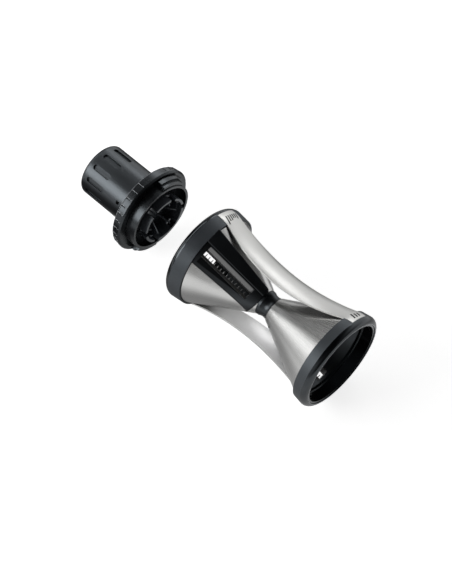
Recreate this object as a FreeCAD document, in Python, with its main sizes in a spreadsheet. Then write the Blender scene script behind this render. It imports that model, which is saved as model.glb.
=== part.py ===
"""Hand spiral slicer lying on its rims, with its turning food holder in front of mouth A.

Two steel-clad funnels meet at a black neck. Two steel strips run from rim to rim and are the
grip. Each funnel has a slicing blade, a julienne comb and a guard bar along its exit slot.
Lengths are in millimetres. Every piece is drawn round its own +Z axis and then placed.
"""
import FreeCAD, Part
import math
import os
import Sketcher

V = FreeCAD.Vector
PARTS_FOLDER = "parts"

SIZES = {
    # The slicer as a whole, from mouth plane to mouth plane
    "slicer_length": 140.8,
    "strip_lean_angle": 58.7,  # of the upper strip above the horizontal
    "play": 0.1,  # between pieces that are joined for good
    # Rim rings, each from its own mouth plane
    "rim_radius": 40.0,
    "rim_ridge": 4.6,  # the widest circle, behind the mouth plane
    "rim_crown": 3.6,  # from the widest circle in to the lip
    "rim_fall": 1.2,  # from the widest circle down to the band's end
    "rim_wall": 4.4,
    "band_end_a": 15.4,
    "band_end_b": 12.2,
    # Mouth liners
    "liner_wall": 1.5,
    "liner_top": 0.6,
    "ledge_step": 1.2,
    "ledge_width": 1.4,
    # Funnels and their steel jackets
    "flange_sheet": 1.0,
    "jacket_inset": 2.8,  # below the widest circle, at the rim
    "neck_radius": 10.6,  # outside of the jackets, at the neck collar
    "neck_length": 10.2,
    "sheet": 0.8,
    "funnel_wall": 2.2,
    "throat_wall": 2.5,
    # Neck collar
    "collar_step": 0.3,  # below the jackets' ends
    "collar_dip": 1.1,
    "collar_wall": 1.2,
    "collar_land": 2.0,  # straight end beside funnel A
    # Exit slot, guard bar, blade and comb, across and along a funnel's line
    "slot_angle_a": 44.0,  # from the strip to the guard's straight edge
    "slot_turn_angle_b": 260.0,
    "guard_width_rim": 12.7,
    "guard_width_neck": 6.6,
    "guard_rise": 1.8,
    "guard_round": 0.7,
    "guard_lap": 0.6,  # over the jacket's edge
    "guard_gap": 0.7,  # to the rim ring and to the neck collar
    "bay_width_rim": 18.5,
    "bay_width_neck": 14.0,
    "bay_depth": 16.0,
    "chute_width_rim": 15.5,
    "chute_width_neck": 10.0,
    "chute_depth": 3.4,
    "window_width": 8.4,
    "window_edge": 0.8,
    "window_depth": 9.0,
    "window_start": 4.0,
    "window_end": 8.0,  # short of the neck
    "blade_width": 9.6,
    "blade_sheet": 1.0,
    "blade_bevel": 2.2,
    "blade_tilt_angle": 25.0,
    "blade_root": 3.6,  # under the guard
    "blade_sink": 0.4,
    "comb_width": 2.0,
    "comb_height": 1.8,
    "comb_sink": 4.6,
    "tooth_sheet": 0.5,
    "tooth_reach": 2.6,
    "tooth_drop": 1.9,
    "tooth_margin": 2.0,
    "tooth_pitch_a": 3.0,
    "tooth_pitch_b": 4.8,
    # Side strips
    "strip_dip": 11.2,  # of the waist below the widest circle
    "strip_sheet": 1.0,
    "strip_half_width": 8.7,
    "strip_waist_half_width": 12.0,
    "strip_rest": 0.4,  # from the widest circle to the strip's end
    "strip_sweep_angle": 34.0,
    # Food holder, measured from its skirt's mouth
    "mouth_gap": 42.6,  # skirt mouth to the plane of mouth A
    "lug_gap": 0.5,  # to the mouth's bore
    "lug_rise": 4.5,
    "lug_step": 1.8,
    "lug_start": 0.8,
    "lug_middle": 3.8,
    "lug_end": 7.6,
    "lug_sweep_angle": 41.0,
    "skirt_wall": 2.0,
    "skirt_length": 8.5,
    "skirt_groove": 0.8,
    "web": 2.5,
    "ring_rise": 7.4,  # above the skirt
    "ring_width": 8.2,
    "ring_flange": 2.8,
    "ring_step": 0.6,  # from the flange down to the ribbed band
    "ring_edge": 1.2,
    "back_plate": 2.5,
    "groove_angle": 1.6,
    "groove_depth": 0.9,
    "groove_step_angle": 10.6,
    "bearing_bore": 12.3,
    "running_gap": 0.05,
    "end_gap": 0.3,
    "glide_bore": 13.0,
    "glide_inset": 0.5,
    "glide_sheet": 1.7,
    "knob_radius": 21.9,
    "knob_gap": 1.3,  # to the ring's back plate
    "knob_wall": 2.6,
    "knob_length": 51.8,
    "knob_edge": 3.0,
    "knob_dome": 1.2,
    "recess_length": 19.0,
    "recess_width": 4.4,
    "recess_end_radius": 2.4,
    "recess_depth": 1.4,
    "recess_start": 6.6,
    "latch_window": 2.8,
    "latch_height": 27.5,
    "latch_width": 1.9,
    "core_flange": 2.0,
    "core_wall": 2.2,
    "core_plate": 2.0,
    "core_length": 56.0,
    "crown_clear": 7.0,  # inside the skirt
    "crown_wall": 2.0,
    "crown_reach": 4.0,  # past the skirt's mouth
    "crown_base": 1.5,
    "crown_gap": 5.0,
    "crown_gap_depth": 6.0,
    "fin_sheet": 1.2,
    "fin_tip_radius": 13.0,
    "fin_foot_radius": 6.0,
    "fin_sink": 1.0,
}
RECESS_COUNT = 12
GROOVE_COUNT = 14
FIN_COUNT = 6
GAP_COUNT = 6


class Dim:
    """A length in mm together with the sheet expression that it comes from."""

    def __init__(self, value, text):
        self.value = float(value)
        self.text = text

    def joined(self, sign, other, value):
        return Dim(value, "(%s %s %s)" % (self.text, sign, as_dim(other).text))

    def __add__(self, other):
        return self.joined("+", other, self.value + as_dim(other).value)

    def __sub__(self, other):
        return self.joined("-", other, self.value - as_dim(other).value)

    def __mul__(self, other):
        return self.joined("*", other, self.value * as_dim(other).value)

    def __truediv__(self, other):
        return self.joined("/", other, self.value / as_dim(other).value)

    def __neg__(self):
        return Dim(-self.value, "(-1 * %s)" % self.text)


def as_dim(number):
    return number if isinstance(number, Dim) else Dim(number, repr(number))


def root(dim):
    return Dim(math.sqrt(dim.value), "sqrt(%s)" % dim.text)


class Sheet:
    """The document's spreadsheet; each driving size is read as an attribute."""

    def __init__(self, doc, sizes):
        self.cells = doc.addObject("Spreadsheet::Sheet", "Sizes")
        for row, (alias, number) in enumerate(sizes.items(), start=1):
            self.cells.set("A%d" % row, alias)
            self.cells.set("B%d" % row, str(number))
            self.cells.setAlias("B%d" % row, alias)
        doc.recompute()

    def __getattr__(self, alias):
        return Dim(self.cells.get(alias), "Sizes." + alias)


doc = FreeCAD.newDocument("spiral_slicer")
S = Sheet(doc, SIZES)
NODES = []

RIM_BORE = S.rim_radius - S.rim_wall
LIP_RADIUS = S.rim_radius - S.rim_crown
BAND_END_RADIUS = S.rim_radius - S.rim_fall
LINER_BORE = RIM_BORE - S.play - S.liner_wall
JACKET_RADIUS = S.rim_radius - S.jacket_inset
NECK = (S.slicer_length - S.neck_length) / 2
COLLAR_RADIUS = S.neck_radius - S.collar_step
SPIGOT_RADIUS = COLLAR_RADIUS - S.collar_dip - S.collar_wall
THROAT_RADIUS = SPIGOT_RADIUS - S.throat_wall
STRIP_STOP = S.rim_ridge + S.strip_rest
LUG_RADIUS = LINER_BORE - S.lug_gap
SKIRT_RADIUS = LUG_RADIUS - S.lug_rise
RING_RADIUS = SKIRT_RADIUS + S.ring_rise
CROWN_RADIUS = SKIRT_RADIUS - S.skirt_wall - S.crown_clear


def node(item, name):
    """Makes a document object one sub-part; its label names its file."""
    item.Label = name
    NODES.append(item)
    return item


def bind(item, **sizes):
    for name, size in sizes.items():
        item.setExpression(name, as_dim(size).text)


def origin(body, role):
    return next(f for f in body.Origin.OriginFeatures if f.Role == role)


def new_body(name, placement):
    body = doc.addObject("PartDesign::Body", name + "_body")
    body.Placement = placement
    return body


def draw_edge(sketch, start, end, radius):
    """A line, or an arc whose centre lies left of its way for a positive radius. Gives the
    edge's number and which of its ends is the start."""
    a = V(start[0].value, start[1].value, 0)
    b = V(end[0].value, end[1].value, 0)
    if radius is None:
        return sketch.addGeometry(Part.LineSegment(a, b), False), 1
    chord = b - a
    size = abs(radius.value)
    side = math.copysign(1.0, radius.value)
    left = V(-chord.y, chord.x, 0).normalize() * side
    centre = (a + b) * 0.5 + left * math.sqrt(max(size**2 - chord.Length**2 / 4, 0.0))
    first, last = (a, b) if side > 0 else (b, a)
    turn = [math.atan2(p.y - centre.y, p.x - centre.x) for p in (first, last)]
    circle = Part.Circle(centre, V(0, 0, 1), size)
    number = sketch.addGeometry(Part.ArcOfCircle(circle, turn[0], turn[1]), False)
    return number, 1 if side > 0 else 2


def pin_down(sketch, kind, number, end, size):
    """Ties one coordinate of an edge's end to the sheet."""
    if size.value == 0.0:
        axis = -2 if kind == "DistanceX" else -1
        sketch.addConstraint(Sketcher.Constraint("PointOnObject", number, end, axis))
        return
    at = sketch.addConstraint(Sketcher.Constraint(kind, -1, 1, number, end, size.value))
    sketch.setExpression("Constraints[%d]" % at, size.text)


def add_outline(sketch, corners):
    """One closed outline. A corner is (x, y), or (x, y, radius) when an arc leaves it."""
    corners = [[as_dim(size) for size in corner] for corner in corners]
    edges = []
    for i, corner in enumerate(corners):
        radius = corner[2] if len(corner) > 2 else None
        edges.append(draw_edge(sketch, corner, corners[(i + 1) % len(corners)], radius))
    for i, (number, start) in enumerate(edges):
        after, after_start = edges[(i + 1) % len(edges)]
        link = Sketcher.Constraint("Coincident", number, 3 - start, after, after_start)
        sketch.addConstraint(link)
    for (number, start), corner in zip(edges, corners):
        pin_down(sketch, "DistanceX", number, start, corner[0])
        pin_down(sketch, "DistanceY", number, start, corner[1])
        if len(corner) > 2:
            size = corner[2] if corner[2].value > 0 else -corner[2]
            at = sketch.addConstraint(Sketcher.Constraint("Radius", number, size.value))
            sketch.setExpression("Constraints[%d]" % at, size.text)


def new_sketch(body, name, role, *outlines, lift=None):
    sketch = body.newObject("Sketcher::SketchObject", name)
    sketch.AttachmentSupport = [(origin(body, role), "")]
    sketch.MapMode = "FlatFace"
    if lift is not None:
        bind(sketch, **{"AttachmentOffset.Base.z": lift})
    for corners in outlines:
        add_outline(sketch, corners)
    return sketch


def turned(body, kind, sketch, sweep=None):
    """A Revolution or Groove of a sketch about the body's Z axis."""
    feature = body.newObject("PartDesign::" + kind, sketch.Name + "_" + kind.lower())
    feature.Profile = sketch
    feature.ReferenceAxis = (origin(body, "Z_Axis"), [""])
    feature.Angle = 360.0
    if sweep is not None:
        bind(feature, Angle=sweep)
        feature.Midplane = True
    doc.recompute()
    return feature


def pushed(body, kind, sketch, length=None, reverse=False):
    """A Pad or Pocket: `length` wide about the sketch's plane, or all the way to one side."""
    feature = body.newObject("PartDesign::" + kind, sketch.Name + "_" + kind.lower())
    feature.Profile = sketch
    if length is None:
        feature.Type = "ThroughAll"
    else:
        feature.SideType = "Symmetric"
        bind(feature, Length=length)
    feature.Reversed = reverse
    doc.recompute()
    return feature


def padded(body, sketch, length, reverse=False):
    """A one-sided Pad."""
    feature = body.newObject("PartDesign::Pad", sketch.Name + "_pad")
    feature.Profile = sketch
    bind(feature, Length=length)
    feature.Reversed = reverse
    doc.recompute()
    return feature


def around(body, feature, count, angle=360.0):
    """A polar pattern; the angle is the whole sweep."""
    pattern = body.newObject("PartDesign::PolarPattern", feature.Name + "_pattern")
    pattern.Originals = [feature]
    pattern.Axis = (origin(body, "Z_Axis"), [""])
    pattern.Occurrences = count
    bind(pattern, Angle=angle)
    body.Tip = pattern
    doc.recompute()
    return pattern


def revolved(name, placement, corners):
    body = new_body(name, placement)
    turned(body, "Revolution", new_sketch(body, name + "_profile", "XZ_Plane", corners))
    return body


def boolean(kind, name, base, tool):
    result = doc.addObject("Part::" + kind, name + "_" + kind.lower())
    result.Base = base
    result.Tool = tool
    doc.recompute()
    return result


def fused(name, *shapes):
    result = doc.addObject("Part::MultiFuse", name)
    result.Shapes = list(shapes)
    doc.recompute()
    return result


def wedge(name, placement, at_rim, at_neck, along, height):
    """A straight-sided block whose width changes from the rim end to the neck end."""
    block = doc.addObject("Part::Wedge", name)
    block.Placement = placement
    bind(block, Xmin=at_rim[0], Xmax=at_rim[1], X2min=at_neck[0], X2max=at_neck[1])
    bind(block, Ymin=along[0], Ymax=along[1], Zmin=height[0], Zmax=height[1])
    bind(block, Z2min=height[0], Z2max=height[1])
    doc.recompute()
    return block


def cone(name, placement, start, end):
    """A solid cone between two (radius, height) ends."""
    solid = doc.addObject("Part::Cone", name)
    solid.Placement = placement * FreeCAD.Placement(V(0, 0, start[1].value), FreeCAD.Rotation())
    bind(solid, Radius1=start[0], Radius2=end[0], Height=end[1] - start[1])
    doc.recompute()
    return solid


def lying():
    """Local Z becomes +X, the rims rest at height 0 and the strips lean round the axis."""
    along = (holder_reach() - S.slicer_length).value / 2
    swap = FreeCAD.Rotation(V(1, 1, 1), 120)
    lean = FreeCAD.Rotation(V(1, 0, 0), S.strip_lean_angle.value)
    return FreeCAD.Placement(V(along, 0, S.rim_radius.value), lean * swap)


def knob_start():
    """The knob's open end, measured from the skirt's mouth."""
    return S.skirt_length + S.ring_width - S.back_plate + S.glide_sheet + S.end_gap


def holder_reach():
    """From the plane of mouth A to the knob's far end."""
    return S.mouth_gap + knob_start() + S.knob_length


WORLD = lying()
FLIP = FreeCAD.Rotation(V(1, 0, 0), 180)
FROM_B = FreeCAD.Placement(V(0, 0, S.slicer_length.value), FLIP)
TURN_B = FreeCAD.Placement(V(0, 0, 0), FreeCAD.Rotation(V(0, 0, 1), S.slot_turn_angle_b.value))
HOLDER = WORLD * FreeCAD.Placement(V(0, 0, -S.mouth_gap.value), FLIP)
SIDES = {
    "a": {"rim": WORLD, "funnel": WORLD, "band": S.band_end_a, "pitch": S.tooth_pitch_a},
    "b": {
        "rim": WORLD * FROM_B,
        "funnel": WORLD * TURN_B * FROM_B,
        "band": S.band_end_b,
        "pitch": S.tooth_pitch_b,
    },
}


class FunnelLine:
    """The straight outside line of a steel jacket, from the rim's band to the neck."""

    def __init__(self, band_end):
        self.start = band_end + S.play
        self.slope = (JACKET_RADIUS - S.neck_radius) / (NECK - self.start)
        self.slant = root(self.slope * self.slope + 1)
        self.length = (NECK - self.start) * self.slant

    def inset(self, depth):
        """Radii at the rim and at the neck, `depth` below the outside, square to it."""
        step = depth * self.slant
        return JACKET_RADIUS - step, S.neck_radius - step

    def slot_frame(self, placement):
        """X across the slot, Y from rim to neck along the jacket, Z out of it."""
        turn = math.radians(S.slot_angle_a.value)
        out = V(math.cos(turn), math.sin(turn), 0)
        across = V(-math.sin(turn), math.cos(turn), 0)
        along = (V(0, 0, 1) - out * self.slope.value).normalize()
        rotation = FreeCAD.Rotation(across, along, across.cross(along), "ZXY")
        base = out * JACKET_RADIUS.value + V(0, 0, self.start.value)
        return placement * FreeCAD.Placement(base, rotation)


def band_radius(height, band_end):
    """Radius of the rim band's outside at a height behind the mouth plane."""
    fall = S.rim_fall / (band_end - S.rim_ridge)
    return S.rim_radius - fall * (height - S.rim_ridge)


def strip_profile():
    """The strip's section: a hollow curve between the rims, and at each band an arc that runs
    on from it without a kink."""
    flat_a, flat_b = S.band_end_a, S.slicer_length - S.band_end_b
    stop_a, stop_b = STRIP_STOP, S.slicer_length - STRIP_STOP
    rise = S.strip_dip - S.rim_fall
    half = (flat_b - flat_a) / 2
    bow = (half * half + rise * rise) / (rise * 2)
    sine, cosine = half / bow, (bow - rise) / bow
    ends = []
    for band_end in (S.band_end_a, S.band_end_b):
        end_radius = band_radius(STRIP_STOP, band_end)
        long, high = band_end - STRIP_STOP, end_radius - BAND_END_RADIUS
        bend = (long * long + high * high) / ((long * sine - high * cosine) * 2)
        ends.append((end_radius, bend))
    (end_a, bend_a), (end_b, bend_b) = ends
    inner_radius = BAND_END_RADIUS - S.strip_sheet * cosine
    shift = S.strip_sheet * sine
    return [
        (end_a, stop_a, bend_a),
        (BAND_END_RADIUS, flat_a, -bow),
        (BAND_END_RADIUS, flat_b, bend_b),
        (end_b, stop_b),
        (end_b - S.strip_sheet, stop_b, S.strip_sheet - bend_b),
        (inner_radius, flat_b + shift, bow + S.strip_sheet),
        (inner_radius, flat_a - shift, S.strip_sheet - bend_a),
        (end_a - S.strip_sheet, stop_a),
    ]


def strip_outline():
    """The strip seen from above: straight in the bands and widest at the waist."""
    flat_a, flat_b = S.band_end_a, S.slicer_length - S.band_end_b
    low, high = STRIP_STOP - S.play, S.slicer_length - STRIP_STOP + S.play
    half = (flat_b - flat_a) / 2
    swell = S.strip_waist_half_width - S.strip_half_width
    edge_bow = (half * half + swell * swell) / (swell * 2)
    width = S.strip_half_width
    return [
        (width, low),
        (width, flat_a, edge_bow),
        (width, flat_b),
        (width, high),
        (-width, high),
        (-width, flat_b, edge_bow),
        (-width, flat_a),
        (-width, low),
    ]


def side_strip(name, placement):
    """A sheet strip, hollow-curved from rim to rim and widest at the waist."""
    body = new_body(name, placement)
    sketch = new_sketch(body, name + "_profile", "XZ_Plane", strip_profile())
    turned(body, "Revolution", sketch, S.strip_sweep_angle * 2)
    wide, tall = S.rim_radius, S.slicer_length + S.rim_radius
    outside = [(wide, -wide), (wide, tall), (-wide, tall), (-wide, -wide)]
    trim = new_sketch(body, name + "_outline", "YZ_Plane", outside, strip_outline())
    pushed(body, "Pocket", trim, S.rim_radius * 2)
    return node(body, name)


def rim_ring(letter, strips):
    """The moulded band round a mouth, recessed for the two strip ends."""
    side = SIDES[letter]
    name = "rim_ring_" + letter
    crown, deep = S.rim_crown, S.rim_ridge
    profile = [
        (RIM_BORE, 0),
        (LIP_RADIUS, 0, (crown * crown + deep * deep) / (crown * 2)),
        (S.rim_radius, S.rim_ridge),
        (BAND_END_RADIUS, side["band"]),
        (RIM_BORE, side["band"]),
    ]
    ring = revolved(name, side["rim"], profile)
    return node(boolean("Cut", name, ring, strips), name)


def mouth_liner(letter):
    """The glossy bore of a mouth, with a ledge at its inner end."""
    outer = RIM_BORE - S.play
    ledge_bore = LINER_BORE - S.ledge_step
    bottom = SIDES[letter]["band"] - S.flange_sheet
    ledge = bottom - S.ledge_width
    profile = [
        (LINER_BORE, S.liner_top),
        (outer, S.liner_top),
        (outer, bottom),
        (ledge_bore, bottom),
        (ledge_bore, ledge),
        (LINER_BORE, ledge),
    ]
    name = "mouth_liner_" + letter
    return node(revolved(name, SIDES[letter]["rim"], profile), name)


def funnel_inner(line):
    return line.inset(S.sheet + S.play + S.funnel_wall)[0]


def funnel_shell(letter, line):
    """The moulded cone with its mouth flange and its spigot at the neck."""
    rim_outer, neck_outer = line.inset(S.sheet + S.play)
    band_end = SIDES[letter]["band"]
    top = band_end - S.flange_sheet
    flange = RIM_BORE - S.play
    middle = S.slicer_length / 2
    profile = [
        (funnel_inner(line), top),
        (flange, top),
        (flange, band_end),
        (rim_outer, band_end),
        (rim_outer, line.start),
        (neck_outer, NECK),
        (SPIGOT_RADIUS, NECK),
        (SPIGOT_RADIUS, middle),
        (THROAT_RADIUS, middle),
        (THROAT_RADIUS, NECK),
        (funnel_inner(line), line.start),
    ]
    return revolved("funnel_shell_" + letter, SIDES[letter]["funnel"], profile)


def blade_frame(frame):
    """X down the blade's width to its edge, Y along it, Z out of its upper face."""
    at = V(-S.blade_root.value, S.window_start.value, -S.blade_sink.value)
    return frame * FreeCAD.Placement(at, FreeCAD.Rotation(V(0, 1, 0), S.blade_tilt_angle.value))


def comb_frame(frame):
    at = V(S.window_width.value, S.window_start.value, -S.comb_sink.value)
    return frame * FreeCAD.Placement(at, FreeCAD.Rotation())


def slot_length(line):
    return line.length - S.window_end - S.window_start


def seat_for(name, placement, size_x, size_y, size_z, below):
    """The room for a blade or a comb, wider than it by the play all round."""
    box = doc.addObject("Part::Box", name)
    bind(box, Length=size_x + S.play * 2, Width=size_y + S.play * 2, Height=size_z + S.play * 2)
    corner = V(-S.play.value, -S.play.value, -S.play.value - below.value)
    box.Placement = placement * FreeCAD.Placement(corner, FreeCAD.Rotation())
    doc.recompute()
    return box


def blade_seat(name, frame, line):
    place = blade_frame(frame)
    return seat_for(name, place, S.blade_width, slot_length(line), S.blade_sheet, S.blade_sheet)


def comb_seat(name, frame, line):
    place = comb_frame(frame)
    return seat_for(name, place, S.comb_width, slot_length(line), S.comb_height, S.play * 0)


def funnel(letter, line, frame):
    """The funnel: its shell, the thick bay under slot and guard, and the openings."""
    side = SIDES[letter]
    name = "funnel_" + letter
    rim_end, neck_end = (JACKET_RADIUS, line.start), (S.neck_radius, NECK)
    solid = cone(name + "_bay_cone", side["funnel"], rim_end, neck_end)
    margin = S.play * 3
    bay = wedge(
        name + "_bay",
        frame,
        (-S.guard_width_rim + S.guard_lap + margin, S.bay_width_rim - margin),
        (-S.guard_width_neck + S.guard_lap + margin, S.bay_width_neck - margin),
        (as_dim(0), line.length),
        (-S.bay_depth + margin, S.guard_rise),
    )
    thick = boolean("Common", name + "_bay", solid, bay)
    inside = cone(
        name + "_inside",
        side["funnel"],
        (funnel_inner(line), line.start),
        (THROAT_RADIUS, NECK),
    )
    body = fused(name + "_solid", funnel_shell(letter, line), boolean(
        "Cut", name + "_bay_hollow", thick, inside))
    end = line.length - S.window_end
    window = wedge(
        name + "_window",
        frame,
        (S.window_edge, S.window_width),
        (S.window_edge, S.window_width),
        (S.window_start, end),
        (-S.window_depth, S.guard_rise),
    )
    chute = wedge(
        name + "_chute",
        frame,
        (S.window_edge, S.chute_width_rim),
        (S.window_edge, S.chute_width_neck),
        (S.window_start, end),
        (-S.chute_depth, S.guard_rise * 2),
    )
    blade_room = blade_seat(name + "_blade_seat", frame, line)
    comb_room = comb_seat(name + "_comb_seat", frame, line)
    holes = fused(name + "_openings", window, chute, blade_room, comb_room)
    return node(boolean("Cut", name, body, holes), name)


def cone_jacket(letter, line, frame):
    """The steel sheet round a funnel, cut away over the bay."""
    name = "cone_jacket_" + letter
    rim_inner, neck_inner = line.inset(S.sheet)
    profile = [
        (rim_inner, line.start),
        (JACKET_RADIUS, line.start),
        (S.neck_radius, NECK),
        (neck_inner, NECK),
    ]
    sheet = revolved(name, SIDES[letter]["funnel"], profile)
    bay = wedge(
        name + "_bay",
        frame,
        (-S.guard_width_rim + S.guard_lap, S.bay_width_rim),
        (-S.guard_width_neck + S.guard_lap, S.bay_width_neck),
        (-S.guard_gap, line.length + S.guard_gap),
        (-S.bay_depth, S.guard_rise * 2),
    )
    return node(boolean("Cut", name, sheet, bay), name)


def long_top_edges(block, frame):
    """The two long edges on the outward face of a wedge, as fillet entries."""
    entries = []
    for number, edge in enumerate(block.Shape.Edges, start=1):
        ends = [frame.inverse().multVec(v.Point) for v in edge.Vertexes]
        outward = all(abs(p.z - S.guard_rise.value) < S.play.value / 10 for p in ends)
        if outward and edge.Length > S.guard_width_rim.value * 2:
            entries.append((number, S.guard_round.value, S.guard_round.value))
    return entries


def blade_guard(letter, line, frame):
    """The bar over the blade's root, flat on top and hollow to the cone underneath."""
    name = "blade_guard_" + letter
    block = wedge(
        name + "_block",
        frame,
        (-S.guard_width_rim, as_dim(0)),
        (-S.guard_width_neck, as_dim(0)),
        (-S.guard_gap, line.length - S.guard_gap),
        (-S.guard_rise * 2, S.guard_rise),
    )
    rounded = doc.addObject("Part::Fillet", name + "_rounded")
    rounded.Base = block
    rounded.Edges = long_top_edges(block, frame)
    doc.recompute()
    clear = S.play * line.slant
    past = S.guard_rise * 2
    flare = past * line.slope
    under = cone(
        name + "_under",
        SIDES[letter]["funnel"],
        (JACKET_RADIUS + clear + flare, line.start - past),
        (S.neck_radius + clear - flare, NECK + past),
    )
    rim_side = doc.addObject("Part::Cylinder", name + "_rim_side")
    rim_side.Placement = SIDES[letter]["funnel"]
    bind(rim_side, Radius=S.rim_radius * 2, Height=SIDES[letter]["band"] + S.end_gap)
    seat = blade_seat(name + "_blade_seat", frame, line)
    hollow = fused(name + "_hollow", under, rim_side, seat)
    return node(boolean("Cut", name, rounded, hollow), name)


def slicing_blade(letter, line, frame):
    """A flat blade with one ground edge, let into the funnel under the guard."""
    name = "slicing_blade_" + letter
    body = new_body(name, blade_frame(frame))
    grind = S.blade_width - S.blade_bevel
    profile = [
        (0, 0),
        (grind, 0),
        (S.blade_width, -S.blade_sheet * 0.9),
        (S.blade_width, -S.blade_sheet),
        (0, -S.blade_sheet),
    ]
    sketch = new_sketch(body, name + "_section", "XZ_Plane", profile)
    padded(body, sketch, slot_length(line), reverse=True)
    return node(body, name)


def julienne_comb(letter, line, frame):
    """A spine with pointed teeth in a row, which score the food ahead of the blade."""
    name = "julienne_comb_" + letter
    body = new_body(name, comb_frame(frame))
    high, wide = S.comb_height, S.comb_width
    spine = [(0, 0), (wide, 0), (wide, high), (0, high)]
    sketch = new_sketch(body, name + "_spine", "XZ_Plane", spine)
    padded(body, sketch, slot_length(line), reverse=True)
    tooth = [
        (wide / 2, high / 2),
        (-S.tooth_reach, high / 4),
        (-S.tooth_reach / 2, -S.tooth_drop),
        (-S.play, 0),
    ]
    plan = new_sketch(body, name + "_tooth", "XZ_Plane", tooth, lift=-S.tooth_margin)
    first = padded(body, plan, S.tooth_sheet, reverse=True)
    pitch = SIDES[letter]["pitch"]
    run = slot_length(line) - S.tooth_margin * 2
    steps = int((run.value - S.tooth_sheet.value) / pitch.value)
    row = body.newObject("PartDesign::LinearPattern", name + "_row")
    row.Originals = [first]
    row.Direction = (origin(body, "Y_Axis"), [""])
    row.Occurrences = steps + 1
    bind(row, Length=pitch * steps)
    body.Tip = row
    doc.recompute()
    return node(body, name)


def neck_collar():
    """The black ring that joins both funnels, hollow-curved to its waist."""
    start = NECK + S.play
    end = S.slicer_length - start
    bore = SPIGOT_RADIUS + S.play / 2
    low = start + S.collar_land
    dip = S.collar_dip
    half = (end - low) / 2
    bow = (half * half + dip * dip) / (dip * 2)
    profile = [
        (bore, start),
        (COLLAR_RADIUS, start),
        (COLLAR_RADIUS, low, -bow),
        (COLLAR_RADIUS, end),
        (bore, end),
    ]
    return node(revolved("neck_collar", WORLD, profile), "neck_collar")


def collar_skirt():
    """The cup that enters a mouth: skirt, two lugs, and a web with the bearing bore."""
    name = "collar_skirt"
    body = new_body(name, HOLDER)
    web_back = S.skirt_length + S.ring_width - S.back_plate
    inner = SKIRT_RADIUS - S.skirt_wall
    neck = SKIRT_RADIUS - S.skirt_groove
    profile = [
        (SKIRT_RADIUS, 0),
        (SKIRT_RADIUS, S.skirt_length - S.skirt_groove),
        (neck, S.skirt_length - S.skirt_groove),
        (neck, S.skirt_length),
        (SKIRT_RADIUS, S.skirt_length),
        (SKIRT_RADIUS, web_back),
        (S.bearing_bore, web_back),
        (S.bearing_bore, web_back - S.web),
        (inner, web_back - S.web),
        (inner, 0),
    ]
    turned(body, "Revolution", new_sketch(body, name + "_profile", "XZ_Plane", profile))
    root_radius = SKIRT_RADIUS - S.skirt_groove
    lug = [
        (root_radius, S.lug_start),
        (LUG_RADIUS - S.lug_step, S.lug_start),
        (LUG_RADIUS - S.lug_step, S.lug_middle),
        (LUG_RADIUS, S.lug_middle),
        (LUG_RADIUS, S.lug_end),
        (root_radius, S.lug_end),
    ]
    sketch = new_sketch(body, name + "_lug", "XZ_Plane", lug)
    first = turned(body, "Revolution", sketch, S.lug_sweep_angle)
    around(body, first, 2)
    return node(body, name)


def collar_ring():
    """The ribbed ring round the skirt, with a back plate that leaves the knob free."""
    name = "collar_ring"
    body = new_body(name, HOLDER)
    inner = SKIRT_RADIUS + S.play / 2
    ribbed = RING_RADIUS - S.ring_step
    opening = S.knob_radius + S.knob_gap
    front, back = S.skirt_length, S.skirt_length + S.ring_width
    step = front + S.ring_flange
    plate, edge = back - S.back_plate, S.ring_edge
    profile = [
        (inner, front),
        (RING_RADIUS - edge, front),
        (RING_RADIUS, front + edge),
        (RING_RADIUS, step),
        (ribbed, step),
        (ribbed, back - edge),
        (ribbed - edge, back),
        (opening, back),
        (opening, plate),
        (inner, plate),
    ]
    turned(body, "Revolution", new_sketch(body, name + "_profile", "XZ_Plane", profile))
    floor, wide = ribbed - S.groove_depth, RING_RADIUS + S.ring_edge
    low, high = step + S.play, back - edge - S.play
    for way in (1, -1):
        cut = [(floor * way, low), (wide * way, low), (wide * way, high), (floor * way, high)]
        sketch = new_sketch(body, "%s_groove_%d" % (name, way % 3), "XZ_Plane", cut)
        first = turned(body, "Groove", sketch, S.groove_angle)
        around(body, first, GROOVE_COUNT, S.groove_step_angle * (GROOVE_COUNT - 1))
    return node(body, name)


def glide_ring():
    """The plain washer on which the knob's end turns."""
    low = S.skirt_length + S.ring_width - S.back_plate
    high = low + S.glide_sheet
    outer = S.knob_radius - S.glide_inset
    profile = [(S.glide_bore, low), (outer, low), (outer, high), (S.glide_bore, high)]
    return node(revolved("glide_ring", HOLDER, profile), "glide_ring")


def grip_knob():
    """The hollow knob: domed end, twelve finger recesses and two latch windows."""
    name = "grip_knob"
    body = new_body(name, HOLDER)
    start = knob_start()
    end = start + S.knob_length
    inner = S.knob_radius - S.knob_wall
    shoulder = end - S.knob_dome
    crown = S.knob_radius - S.knob_edge
    dome = (crown * crown + S.knob_dome * S.knob_dome) / (S.knob_dome * 2)
    profile = [
        (inner, start),
        (S.knob_radius, start),
        (S.knob_radius, shoulder - S.knob_edge, S.knob_edge),
        (crown, shoulder, dome),
        (0, end),
        (0, shoulder - S.knob_wall),
        (inner, shoulder - S.knob_wall),
    ]
    turned(body, "Revolution", new_sketch(body, name + "_profile", "XZ_Plane", profile))
    half = S.recess_width / 2
    top = end - S.recess_start
    low = top - S.recess_length
    capsule = [
        (half, low + half),
        (half, top - half, S.recess_end_radius),
        (-half, top - half),
        (-half, low + half, S.recess_end_radius),
    ]
    floor = S.knob_radius - S.recess_depth
    sketch = new_sketch(body, name + "_recess", "YZ_Plane", capsule, lift=floor)
    around(body, pushed(body, "Pocket", sketch, reverse=True), RECESS_COUNT)
    gap = S.latch_window / 2
    low, high = S.latch_height - gap, S.latch_height + gap
    opening = [(gap, low), (gap, high), (-gap, high), (-gap, low)]
    sketch = new_sketch(body, name + "_window", "XZ_Plane", opening)
    pushed(body, "Pocket", sketch, S.knob_radius * 3)
    return node(body, name)


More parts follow.
